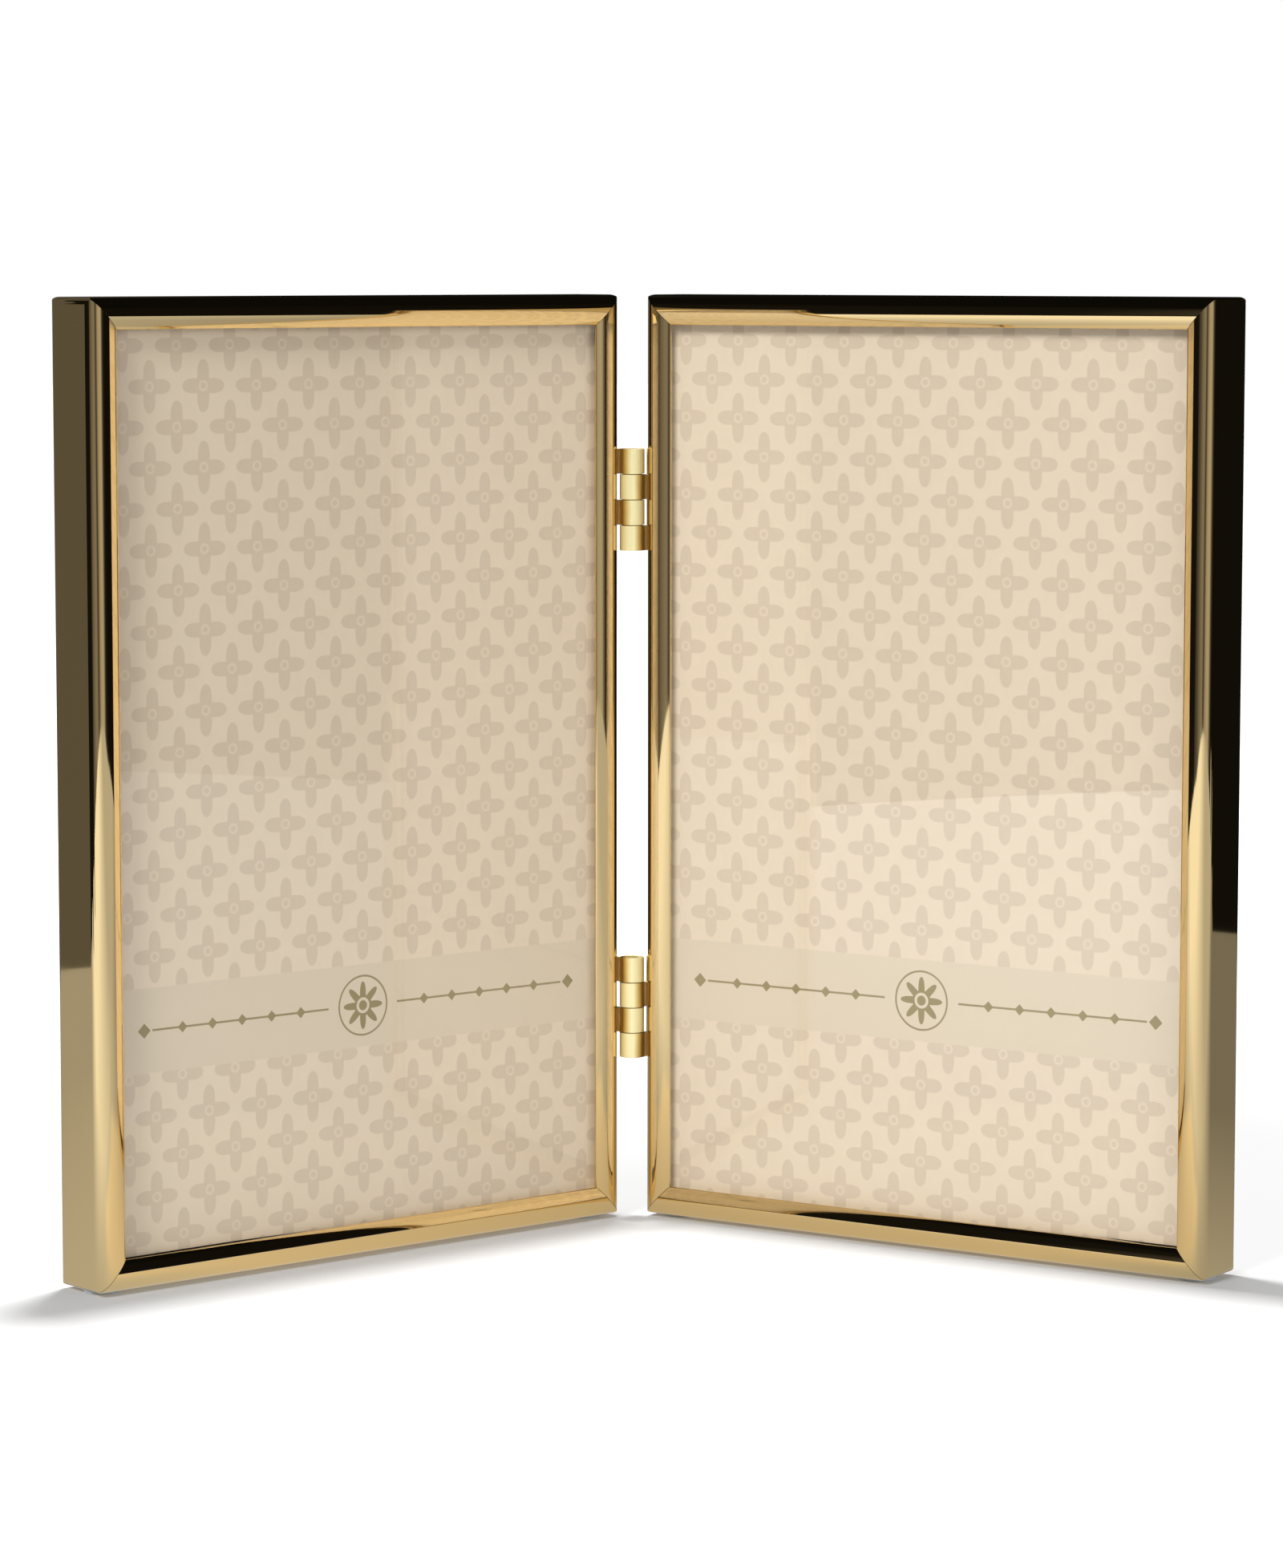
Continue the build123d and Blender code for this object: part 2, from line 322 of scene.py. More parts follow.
# Studio: a pale floor, a dark surround that only polished faces see, and soft lamps
studioSizes = {
    "floor": 12.0,
    "floorColour": (0.50, 0.50, 0.50, 1),
    "floorGlow": 0.10,
    "shadowReach": 0.27,
    "shadowFade": 0.24,
    "tableCentre": (0.05, -0.35),
    "tableRadius": 0.67,
    "edgeBlur": 0.04,
    # how bright polish sees the table, from the first place to the second
    "tableToBack": (-0.17, 0.04, 1.0, 0.38),
    "tableToRight": (-0.30, 0.25, 1.0, 0.50),
    "brightest": 1.25,  # no place of the table or its apron is brighter in polish
    # and how much more of it, and how warm, close in front of the gold
    "apron": {"reach": 0.078, "y": (-0.12, 0.04), "more": 0.22, "tint": (1.0, 0.90, 0.74, 1)},
    # brightness of the surround by the angle round it, in degrees from +X
    "surround": [
        (0, 0.006), (100, 0.006), (108, 0.10), (139.8, 0.107), (141.5, 0.008), (178, 0.008),
        (188, 0.08), (198, 0.14), (210, 0.18), (225, 0.225), (242, 0.21), (248, 0.07), (261, 0.08),
        (270, 0.24), (278, 0.33), (292, 0.40), (310, 0.425), (320, 0.38), (328, 0.20), (336, 0.08),
        (345, 0.02), (360, 0.006),
    ],
    "surroundTop": 34.0,  # degrees above the table
    "surroundTopBlur": 0.08,
    "surroundTint": (1.0, 0.94, 0.86, 1),
    "ceiling": (0.004, 0.004, 0.004, 1),
    "overhead": {"x": (0.04, 0.14), "y": (-0.30, -0.05), "yBlur": 0.06, "colour": (0.9, 0.9, 0.9, 1)},
    "worldFill": 0.25,
    # place and aim in metres, size of the disk, power in watts
    "lamps": {
        "keyLamp": ((-0.75, -1.0, 0.95), (0, 0, 0.08), 0.55, 17.6),
        "fillLamp": ((0.9, -1.1, 0.5), (0, 0, 0.08), 0.7, 5.4),
        "topLamp": ((-0.03, 0.09, 1.10), (0, 0, 0.02), 0.10, 16.5),
        "backLamp": ((0.2, 1.2, 0.7), (0, 0, 0.08), 0.7, 3),
    },
}


def makeFloor(s):
    letGo()
    bpy.ops.mesh.primitive_plane_add(size=s["floor"])
    floor = bpy.context.object
    floor.name = "floor"
    material, wire = newMaterial("floorPaper")
    inPolish = wire.put("ShaderNodeLightPath", output="Is Glossy Ray")
    inPolish = inPolish.most(wire.put("ShaderNodeLightPath", output="Is Transmission Ray"))
    seen = wire.put("ShaderNodeLightPath", output="Is Camera Ray")
    place = wire.put("ShaderNodeTexCoord", output="Object")
    reach = wire.put("ShaderNodeVectorMath", {"operation": "LENGTH"}, {0: place}, "Value")
    level = s["floorGlow"] + (1 - s["floorGlow"]) * (1 - reach.below(s["shadowReach"], s["shadowFade"]))
    lit = wire.put("ShaderNodeBsdfDiffuse", {}, {"Color": s["floorColour"]})
    black, white = (0, 0, 0, 1), (1, 1, 1, 1)
    glow = wire.put("ShaderNodeEmission", {}, {"Color": (seen * level).mixed(black, white)})
    both = wire.put("ShaderNodeAddShader", {}, {0: lit, 1: glow})
    x = wire.put("ShaderNodeSeparateXYZ", {}, {0: place}, "X")
    y = wire.put("ShaderNodeSeparateXYZ", {}, {0: place}, "Y")
    table = y.ramp(*s["tableToBack"]) * x.ramp(*s["tableToRight"])
    warm, blur = s["apron"], s["edgeBlur"]
    apron = abs(x).below(warm["reach"], blur) * y.within(*warm["y"], blur)
    share = (table + apron * warm["more"]) / s["brightest"]
    colour = share.mixed(black, (*[s["brightest"]] * 3, 1)).times(apron.mixed(white, warm["tint"]))
    polish = wire.put("ShaderNodeEmission", {}, {"Color": colour})
    close(wire, wire.put("ShaderNodeMixShader", {}, {0: inPolish, 1: both, 2: polish}))
    floor.data.materials.append(material)


def onlyInPolish(card):
    # Seen in metal and through or in the glass, never by the camera itself
    card.visible_camera = False
    card.visible_diffuse = False
    card.visible_volume_scatter = False
    card.visible_shadow = False


def makeSurround(s):
    letGo()
    bpy.ops.mesh.primitive_uv_sphere_add(segments=96, ring_count=48, radius=s["tableRadius"])
    surround = bpy.context.object
    surround.name = "surround"
    edit(surround)
    bpy.ops.mesh.select_all(action="SELECT")
    bpy.ops.mesh.bisect(plane_co=(0, 0, 0), plane_no=(0, 0, 1), clear_inner=True)
    bpy.ops.mesh.select_all(action="SELECT")
    bpy.ops.mesh.flip_normals()
    bpy.ops.object.mode_set(mode="OBJECT")
    surround.location = (*s["tableCentre"], 0)
    material, wire = newMaterial("surroundCloth")
    place = wire.put("ShaderNodeTexCoord", output="Object")
    x = wire.put("ShaderNodeSeparateXYZ", {}, {0: place}, "X")
    y = wire.put("ShaderNodeSeparateXYZ", {}, {0: place}, "Y")
    height = wire.put("ShaderNodeSeparateXYZ", {}, {0: place}, "Z")
    turn = wire.maths("ARCTAN2", y, x) / (2 * pi)
    stops = [(angle / 360, (level,) * 3) for angle, level in s["surround"]]
    wall = wire.put("ShaderNodeValToRGB", {"stops": stops}, {0: wire.maths("FRACT", turn + 1)})
    low = height.below(s["tableRadius"] * sin(radians(s["surroundTop"])), s["surroundTopBlur"])
    card = s["overhead"]
    centreX, centreY = s["tableCentre"]
    overhead = (x + centreX).within(*card["x"], s["edgeBlur"]) * (y + centreY).within(*card["y"], card["yBlur"])
    top = (overhead * (1 - low)).mixed(s["ceiling"], card["colour"])
    shade = low.mixed(top, wall.colour().times(s["surroundTint"]))
    close(wire, wire.put("ShaderNodeEmission", {}, {"Color": shade}))
    surround.data.materials.append(material)
    onlyInPolish(surround)


def makeLamp(name, place, target, size, power):
    # A soft lamp that polished faces don't show
    letGo()
    bpy.ops.object.light_add(type="AREA", location=place)
    lamp = bpy.context.object
    lamp.name = name
    lamp.data.shape = "DISK"
    lamp.data.size = size
    lamp.data.energy = power
    aim = Vector(target) - Vector(place)
    lamp.rotation_euler = aim.to_track_quat("-Z", "Y").to_euler()
    lamp.visible_glossy = False
    lamp.visible_camera = False


def makeWorld(fill):
    # White wherever it is seen, and an even fill on what it lights
    world = bpy.data.worlds.new("studio")
    bpy.context.scene.world = world
    world.use_nodes = True
    world.node_tree.nodes.clear()
    wire = Wire(world.node_tree)
    seen = wire.put("ShaderNodeLightPath", output="Is Camera Ray")
    for ray in ("Is Glossy Ray", "Is Transmission Ray"):
        seen = seen.most(wire.put("ShaderNodeLightPath", output=ray))
    strength = seen * (1 - fill) + fill
    background = wire.put("ShaderNodeBackground", {}, {"Color": (1, 1, 1, 1), "Strength": strength})
    wire.put("ShaderNodeOutputWorld", {}, {"Surface": background})


makeWorld(studioSizes["worldFill"])
makeFloor(studioSizes)
makeSurround(studioSizes)
for lampName, values in studioSizes["lamps"].items():
    makeLamp(lampName, *values)
print("studio set")


def polishedGold():
    # Rolled sheet with faint waves, smudged in places
    material, wire = newMaterial("railGold")
    smudge = objectNoise(wire, 45, 4.0, (1, 1, 0.35))
    film = objectNoise(wire, 9, 2.0)
    rough = 0.028 + (smudge.most(0.55) - 0.55) * 0.22
    wave = objectNoise(wire, 28, 1.0, (1, 1, 0.25))
    bump = wire.put("ShaderNodeBump", {}, {"Strength": 0.05, "Distance": 0.0006, "Height": wave})
    colour = film.mixed((0.955, 0.745, 0.400, 1), (0.940, 0.715, 0.365, 1))
    close(wire, wire.put("ShaderNodeBsdfPrincipled", {}, {
        "Base Color": colour, "Metallic": 1.0, "Roughness": rough, "Normal": bump}))
    return material


def brush(wire, cloud, colour, metallic, roughness, grain):
    # Brass with a fine grain in its surface
    brushed = objectNoise(wire, 900, 2.0, grain)
    bump = wire.put("ShaderNodeBump", {}, {"Strength": 0.35, "Distance": 0.00003, "Height": brushed})
    close(wire, wire.put("ShaderNodeBsdfPrincipled", {}, {
        "Base Color": colour, "Metallic": metallic,
        "Roughness": roughness + cloud * 0.08, "Normal": bump}))


def satinBrass(name, light, deep, metallic, roughness, grain):
    material, wire = newMaterial(name)
    cloud = objectNoise(wire, 260)
    brush(wire, cloud, cloud.mixed(light, deep), metallic, roughness, grain)
    return material


# Painted highlight and painted reflection, by the place across the barrel: -1 on a knuckle's free side, 1 on
# the side of its panel. A pale painted highlight lies near the middle, painted dark reflections run brown
# towards the panel's side, and the strip beyond is painted lighter against the stile's shade
paintedReflectionStops = [
    (-1.0, (0.80, 0.62, 0.26)),
    (-0.45, (0.96, 0.84, 0.44)),
    (0.10, (0.98, 0.92, 0.54)),
    (0.42, (0.80, 0.56, 0.17)),
    (0.80, (0.24, 0.105, 0.012)),
    (0.98, (0.27, 0.12, 0.015)),
    (1.08, (0.96, 0.76, 0.34)),
]


def paintedReflectionBrass(name, side, metallic, roughness, grain):
    # Satin brass with a painted pale highlight and painted brown reflections across the barrel
    material, wire = newMaterial(name)
    place = wire.put("ShaderNodeTexCoord", output="Object")
    x = wire.put("ShaderNodeSeparateXYZ", {}, {0: place}, "X")
    across = (x - foldAxis.x) * (side / (panelSizes["barrelRadius"] * mm))
    cloud = objectNoise(wire, 260)
    low, high = paintedReflectionStops[0][0], paintedReflectionStops[-1][0]
    stops = [((spot - low) / (high - low), colour) for spot, colour in paintedReflectionStops]
    jitteredAcross = across + cloud * 0.16 - 0.08
    # The ramp paints a pale highlight and brown reflections into the leaves' colour
    reflectionRamp = wire.put("ShaderNodeValToRGB", {"stops": stops}, {0: jitteredAcross.ramp(low, high, 0.0, 1.0)})
    brush(wire, cloud, reflectionRamp.colour(), metallic, roughness, grain)
    return material


def clearGlass():
    # Lamps pass straight through the pane
    material, wire = newMaterial("clearGlass")
    pane = wire.put("ShaderNodeBsdfPrincipled", {}, {
        "Base Color": (0.97, 0.985, 0.975, 1), "Roughness": 0.0, "IOR": 1.5, "Transmission Weight": 1.0})
    through = wire.put("ShaderNodeBsdfTransparent", {}, {"Color": (0.96, 0.96, 0.96, 1)})
    shadow = wire.put("ShaderNodeLightPath", output="Is Shadow Ray")
    bounce = wire.put("ShaderNodeLightPath", output="Is Diffuse Ray")
    close(wire, wire.put("ShaderNodeMixShader", {}, {0: shadow.most(bounce), 1: pane, 2: through}))
    return material


printSizes = {
    "pitch": (10.6, 13.2),
    "flower": (4.15, 4.3),
    "fullness": 0.71,
    "eye": (0.5, 0.9),
    "eyeBlur": 0.15,
    "eyePale": 0.7,
    "softness": 0.13,
    "bandLow": -45.4,
    "bandHigh": -31.4,
    "bandBlur": 0.1,
    # the ornament in the middle of the band
    "petals": 8,
    "petalMiddle": 2.9,
    "petalSwing": 1.15,
    "hole": (0.85, 1.35),
    "ring": 5.0,
    "ringHalf": 0.16,
    "rule": (7.2, 43.0),
    "ruleHalf": 0.17,
    "beads": (9.0, 42.0),
    "beadPitch": 6.0,
    "beadShift": 1.0,
    "bead": 0.95,
    "ends": 44.6,
    "end": 1.25,
}
printColours = {
    "groundDeep": (0.765, 0.635, 0.485, 1),
    "groundLight": (0.800, 0.665, 0.510, 1),
    "figure": (0.675, 0.548, 0.415, 1),
    "band": (0.715, 0.600, 0.455, 1),
    "ink": (0.300, 0.235, 0.100, 1),
}


def folded(value, pitch):
    # Distance from the middle of the repeat, either way
    repeats = value / pitch
    return abs(repeats - repeats.maths("ROUND", repeats)) * pitch


def away(x, y):
    return (x * x + y * y) ** 0.5


def printedFlower(x, y, s):
    # One four-petal flower to each repeat
    a = folded(x, s["pitch"][0])
    b = folded(y, s["pitch"][1])
    u, v = a / s["flower"][0], b / s["flower"][1]
    turn = v.maths("ARCTAN2", v, u)
    edge = s["fullness"] + turn.maths("COSINE", turn * 4) * (1 - s["fullness"])
    petals = (away(u, v) - edge).below(0.0, s["softness"] * 0.5)
    eye = away(a, b).within(*s["eye"], s["eyeBlur"])
    return petals * (1 - eye * s["eyePale"])


def printedPaper(side, s, tones):
    # Rows of flowers set between one another, and a plain ornament on a band
    material, wire = newMaterial("printedPaper")
    x, y = panelCoordinates(wire, side)
    soft = s["softness"]
    across, up = s["pitch"]
    motif = printedFlower(x, y, s).most(printedFlower(x + across / 2, y + up / 2, s))

    band = y.within(s["bandLow"], s["bandHigh"], s["bandBlur"])
    level = y - (s["bandLow"] + s["bandHigh"]) / 2
    reach = abs(x)
    turn = level.maths("ARCTAN2", level, x)
    radius = away(x, level)
    petalEdge = s["petalMiddle"] + wire.maths("COSINE", turn * s["petals"]) * s["petalSwing"]
    flower = (radius - petalEdge).below(0.0, soft) * (1 - radius.within(*s["hole"], soft))
    ring = abs(radius - s["ring"]).below(s["ringHalf"], soft)
    rule = abs(level).below(s["ruleHalf"], soft) * reach.within(*s["rule"], soft)
    bead = (folded(reach - s["beadShift"], s["beadPitch"]) + abs(level)).below(s["bead"], soft)
    ends = (abs(reach - s["ends"]) + abs(level)).below(s["end"], soft)
    ink = flower.most(ring).most(rule).most(bead * reach.within(*s["beads"], soft)).most(ends)

    fibre = objectNoise(wire, 5200, 3.0)
    cloud = objectNoise(wire, 420, 4.0)
    figure = motif.mixed(cloud.mixed(tones["groundDeep"], tones["groundLight"]), tones["figure"])
    face = band.mixed(figure, ink.mixed(tones["band"], tones["ink"]))
    colour = face.times(fibre.mixed((0.93, 0.93, 0.93, 1), (1.05, 1.05, 1.05, 1)))
    bump = wire.put("ShaderNodeBump", {}, {"Strength": 0.12, "Distance": 0.00004, "Height": fibre})
    close(wire, wire.put("ShaderNodeBsdfPrincipled", {}, {
        "Base Color": colour, "Roughness": 0.62, "Normal": bump}))
    return material


def flockVelvet():
    material, wire = newMaterial("flockVelvet")
    pile = objectNoise(wire, 3200, 2.0)
    nap = objectNoise(wire, 60, 3.0, (1, 1, 0.5))
    colour = nap.mixed((0.010, 0.009, 0.009, 1), (0.028, 0.026, 0.025, 1))
    bump = wire.put("ShaderNodeBump", {}, {"Strength": 0.6, "Distance": 0.0002, "Height": pile})
    close(wire, wire.put("ShaderNodeBsdfPrincipled", {}, {
        "Base Color": colour, "Roughness": 0.9, "Sheen Weight": 0.7, "Sheen Roughness": 0.35,
        "Sheen Tint": (0.75, 0.73, 0.72, 1), "Normal": bump}))
    return material


def pressedBoard():
    material, wire = newMaterial("pressedBoard")
    fibre = objectNoise(wire, 1400, 4.0, (1, 1, 2.5))
    colour = fibre.mixed((0.13, 0.085, 0.05, 1), (0.24, 0.165, 0.10, 1))
    bump = wire.put("ShaderNodeBump", {}, {"Strength": 0.4, "Distance": 0.0001, "Height": fibre})
    close(wire, wire.put("ShaderNodeBsdfPrincipled", {}, {
        "Base Color": colour, "Roughness": 0.8, "Normal": bump}))
    return material


def greyCard():
    material, wire = newMaterial("greyCard")
    fibre = objectNoise(wire, 2400, 4.0)
    colour = fibre.mixed((0.30, 0.285, 0.26, 1), (0.42, 0.40, 0.37, 1))
    bump = wire.put("ShaderNodeBump", {}, {"Strength": 0.3, "Distance": 0.00006, "Height": fibre})
    close(wire, wire.put("ShaderNodeBsdfPrincipled", {}, {
        "Base Color": colour, "Roughness": 0.85, "Normal": bump}))
    return material


def keySteel():
    material, wire = newMaterial("keySteel")
    mill = objectNoise(wire, 700, 3.0, (1, 1, 0.15))
    colour = mill.mixed((0.42, 0.42, 0.43, 1), (0.58, 0.58, 0.59, 1))
    close(wire, wire.put("ShaderNodeBsdfPrincipled", {}, {
        "Base Color": colour, "Metallic": 1.0, "Roughness": 0.3 + mill * 0.15}))
    return material


def clearPad():
    material, wire = newMaterial("clearPad")
    haze = objectNoise(wire, 700, 3.0)
    colour = haze.mixed((0.45, 0.52, 0.58, 1), (0.58, 0.64, 0.68, 1))
    close(wire, wire.put("ShaderNodeBsdfPrincipled", {}, {
        "Base Color": colour, "Roughness": 0.18 + haze * 0.12, "Coat Weight": 0.4}))
    return material


railGold = polishedGold()
hingeBrass = satinBrass("hingeBrass", (0.96, 0.76, 0.28, 1), (0.90, 0.66, 0.20, 1), 0.6, 0.2, (1, 1, 0.08))
# The leaves' brass carries a painted highlight and painted reflections across the barrel
leafBrass = {
    side: paintedReflectionBrass(panel + "LeafBrass", side, 0.35, 0.2, (1, 1, 0.08)) for panel, side in sides.items()
}
buttonBrass = satinBrass("buttonBrass", (0.90, 0.72, 0.34, 1), (0.84, 0.65, 0.28, 1), 0.7, 0.22, (0.3, 1, 1))
glassPane = clearGlass()
velvetPile = flockVelvet()
boardFibre = pressedBoard()
cardFibre = greyCard()
steelMill = keySteel()
padPlastic = clearPad()
print("materials mixed")


# Rails: one strip of sheet metal, rolled to a crowned face with a folded lip and a back flange
railSizes = {
    "sheet": 0.5,
    "face": 5.2,
    "depth": 12.0,
    "cornerRadius": 2.2,
    "crownRadius": 9.0,
    "crownPlace": 2.6,
    "innerCrownRadius": 4.6,
    "noseRadius": 0.28,
    "backRadius": 1.0,
    "flange": 3.6,
    "innerWall": 3.9,
    "wallEnd": 10.2,
    "mitreGap": 0.035,
    "outlineRadius": 1.2,
    "rimBevel": 0.15,
}


def drawRailSection(name, x, r):
    # Drawn at x, with the outer face at y = 0 and the crown at z = 0
    sheet, crown, corner, nose = r["sheet"], r["crownRadius"], r["cornerRadius"], r["noseRadius"]
    inner = r["innerCrownRadius"]
    cornerDepth = crown - sqrt((crown - corner) ** 2 - (r["crownPlace"] - corner) ** 2)
    cornerAngle = degrees(atan2(cornerDepth - crown, corner - r["crownPlace"]))
    nosePlace = r["face"] - nose
    noseDepth = inner - sqrt((inner - nose) ** 2 - (nosePlace - r["crownPlace"]) ** 2)
    noseAngle = degrees(atan2(noseDepth - inner, nosePlace - r["crownPlace"]))
    channel = r["innerWall"] - sheet
    channelDepth = inner - sqrt((inner - sheet) ** 2 - (channel - r["crownPlace"]) ** 2)
    channelAngle = degrees(atan2(channelDepth - inner, channel - r["crownPlace"]))

    def point(inward, back):
        return inward, -back

    rail = penDown(name, (x, *point(r["flange"], r["depth"])))
    lineTo(rail, *point(r["backRadius"], r["depth"]))
    arcTo(rail, point(r["backRadius"], r["depth"] - r["backRadius"]), -90, 8)
    lineTo(rail, *point(0, cornerDepth))
    arcTo(rail, point(corner, cornerDepth), -180 - cornerAngle, 22)
    arcTo(rail, point(r["crownPlace"], crown), cornerAngle + 90, 8)
    arcTo(rail, point(r["crownPlace"], inner), -90 - noseAngle, 12)
    arcTo(rail, point(nosePlace, noseDepth), noseAngle - 90, 14)
    lineTo(rail, *point(r["innerWall"], noseDepth + nose))
    lineTo(rail, *point(r["innerWall"], r["wallEnd"]))
    lineTo(rail, *point(channel, r["wallEnd"]))
    lineTo(rail, *point(channel, channelDepth))
    arcTo(rail, point(r["crownPlace"], inner), 90 + channelAngle, 4)
    arcTo(rail, point(r["crownPlace"], crown), -90 - cornerAngle, 4)
    arcTo(rail, point(corner, cornerDepth), 180 + cornerAngle, 10)
    lineTo(rail, *point(sheet, r["depth"] - r["backRadius"]))
    arcTo(rail, point(r["backRadius"], r["depth"] - r["backRadius"]), 90, 4)
    lineTo(rail, *point(r["flange"], r["depth"] - sheet))
    bpy.ops.mesh.select_all(action="SELECT")
    bpy.ops.mesh.remove_doubles(threshold=0.001)
    closeLoop(rail)
    return rail


def closeLoop(piece):
    # Joins the two loose ends, then fills the section
    mesh = bmesh.from_edit_mesh(piece.data)
    for vertex in mesh.verts:
        vertex.select_set(len(vertex.link_edges) == 1)
    mesh.select_flush(False)
    bmesh.update_edit_mesh(piece.data)
    bpy.ops.mesh.edge_face_add()
    bpy.ops.mesh.select_all(action="SELECT")
    bpy.ops.mesh.edge_face_add()


def block(low, high):
    letGo()
    bpy.ops.mesh.primitive_cube_add(size=1, location=[(a + b) / 2 for a, b in zip(low, high)])
    piece = bpy.context.object
    piece.scale = [b - a for a, b in zip(low, high)]
    return fixPlace(piece)


def makeRail(name, length, panel, r):
    # A rail along X, with its outer face at y = 0 and both ends mitred
    rail = drawRailSection(name, -length / 2, r)
    bpy.ops.mesh.extrude_region_move(TRANSFORM_OT_translate={"value": (length, 0, 0)})
    bpy.ops.mesh.select_all(action="SELECT")
    bpy.ops.mesh.normals_make_consistent(inside=False)
    for way in (-1, 1):
        tip = way * (length / 2 - r["mitreGap"] * sqrt(2))
        bpy.ops.mesh.select_all(action="SELECT")
        bpy.ops.mesh.bisect(plane_co=(tip, 0, 0), plane_no=(-way, -1, 0), use_fill=True, clear_inner=True)
    bpy.ops.object.mode_set(mode="OBJECT")

    # The panel's outline, with its corners rounded, cuts the tips of the mitres
    across = panel["height"] if length == panel["width"] else panel["width"]
    outline = block((-length / 2, 0, -1.5 * r["depth"]), (length / 2, across, 0.5 * r["depth"]))
    edit(outline)
    pickEdges(outline, lambda p, q: abs(p.z - q.z) > r["depth"])
    bpy.ops.mesh.bevel(offset=r["outlineRadius"], segments=8, affect="EDGES")
    bpy.ops.object.mode_set(mode="OBJECT")
    addModifier(rail, "BOOLEAN", operation="INTERSECT", solver="EXACT", object=outline)
    addModifier(rail, "BEVEL", width=r["rimBevel"], segments=2, limit_method="ANGLE", angle_limit=radians(38))
    applyModifiers(rail)
    bpy.data.objects.remove(outline)
    return rail


def copyOf(piece, name):
    twin = piece.copy()
    twin.data = piece.data.copy()
    named(twin, name)
    bpy.context.scene.collection.objects.link(twin)
    return twin


halfWidth = panelSizes["width"] / 2
halfHeight = panelSizes["height"] / 2
patterns = {
    "level": makeRail("levelPattern", panelSizes["width"], panelSizes, railSizes),
    "upright": makeRail("uprightPattern", panelSizes["height"], panelSizes, railSizes),
}
for panel, side in sides.items():
    rails = {
        "bottom_rail": ("level", (0, -halfHeight), 0),
        "top_rail": ("level", (0, halfHeight), 180),
        "outer_stile": ("upright", (side * halfWidth, 0), side * 90),
        "hinge_stile": ("upright", (-side * halfWidth, 0), -side * 90),
    }
    for railName, (pattern, middle, turn) in rails.items():
        node = f"{panel}_{railName}"
        rail = copyOf(patterns[pattern], node + "_rolled")
        place = Matrix.Translation((*middle, 0)) @ Matrix.Rotation(radians(turn), 4, "Z")
        settle(rail, panelMatrix(side) @ place)
        hand(rail, panel + "_panel", railGold, node)
for pattern in patterns.values():
    bpy.data.objects.remove(pattern)
print("rails rolled")


def finishNode(node, material):
    # Gives a material to a node that is kept as it came
    materials = frame["nodes"][node].data.materials
    materials.clear()
    materials.append(material)


# Behind the lip of each panel: glass with ground edges, printed sheet, card and board
glassSizes = {"width": 101.6, "height": 152.4, "front": 1.27, "back": 3.24, "grinding": 0.2}


def makeGlass(name, side, g):
    x, y = g["width"] / 2, g["height"] / 2
    pane = named(block((-x, -y, -g["back"]), (x, y, -g["front"])), name)
    addModifier(pane, "BEVEL", width=g["grinding"], segments=1, limit_method="ANGLE")
    settle(pane, panelMatrix(side))
    return pane


for panel, side in sides.items():
    pane = makeGlass(panel + "_glass_ground", side, glassSizes)
    hand(pane, panel + "_panel", glassPane, panel + "_glass")
    finishNode(f"{panel}_photo_insert", printedPaper(side, printSizes, printColours))
    finishNode(f"{panel}_filler_card", cardFibre)
    finishNode(f"{panel}_backing_board", boardFibre)
    finishNode(f"{panel}_corner_keys", steelMill)
print("packing laid in")


def draw(piece, *strokes):
    # Strokes are (y, z) for a line to there, or (centre, turn, steps) for an arc
    for stroke in strokes:
        if len(stroke) == 2:
            lineTo(piece, *stroke)
        else:
            arcTo(piece, *stroke)


def turned(name, start, *strokes, steps=48):
    # A closed piece turned about Z; its marks are (radius, height)
    piece = penDown(name, (0, *start))
    draw(piece, *strokes)
    bpy.ops.mesh.select_all(action="SELECT")
    bpy.ops.mesh.spin(steps=steps, angle=2 * pi, center=(0, 0, 0), axis=(0, 0, 1))
    bpy.ops.mesh.select_all(action="SELECT")
    bpy.ops.mesh.remove_doubles(threshold=0.0005)
    bpy.ops.mesh.normals_make_consistent(inside=False)
    bpy.ops.object.mode_set(mode="OBJECT")
    return piece


def cut(piece, *tools):
    # Takes the tools out of the piece, then removes them
    for tool in tools:
        addModifier(piece, "BOOLEAN", operation="DIFFERENCE", solver="EXACT", object=tool)
    applyModifiers(piece)
    for tool in tools:
        bpy.data.objects.remove(tool)


def drill(radius, length, place, turn=(0, 0, 0)):
    letGo()
    bpy.ops.mesh.primitive_cylinder_add(vertices=40, radius=radius, depth=length, location=place, rotation=turn)
    return fixPlace(bpy.context.object)


def joined(name, pieces):
    takeUp(*pieces)
    bpy.ops.object.join()
    return named(bpy.context.object, name)


# Hinges: each leaf is one strip with every second knuckle rolled from it, on a pin
hingeSizes = {
    "levels": {"upper": 126.0, "lower": 37.2},
    "height": 17.6,
    "barrelRadius": 2.15,
    "strip": 0.8,
    "leafWidth": 8.2,
    "leafCorner": 1.0,
    "knuckles": 4,
    "knuckleGap": 0.12,
    "notch": 2.45,
    "seam": 0.3,
    "rim": 0.1,
    "pinRadius": 1.3,
    "pinRound": 0.25,
    "rivetSpacing": 10.0,
    "rivetPlace": 5.35,
    "rivetHole": 0.95,
    "rivetShank": 0.9,
    "rivetHead": (1.5, 0.35, 0.2),
    "rivetTail": 0.5,
}


def leafMatrix(side, level):
    # X of a leaf's own millimetres runs along the pin, Y across the barrel, Z back along the panel's side wall
    across = Vector((side * cos(swing), -sin(swing), 0))
    behind = Vector((side * sin(swing), cos(swing), 0))
    turn = Matrix((Vector((0, 0, side)), across, behind)).transposed().to_4x4()
    return Matrix.Translation((foldAxis.x, foldAxis.y, level * mm)) @ turn @ Matrix.Scale(mm, 4)


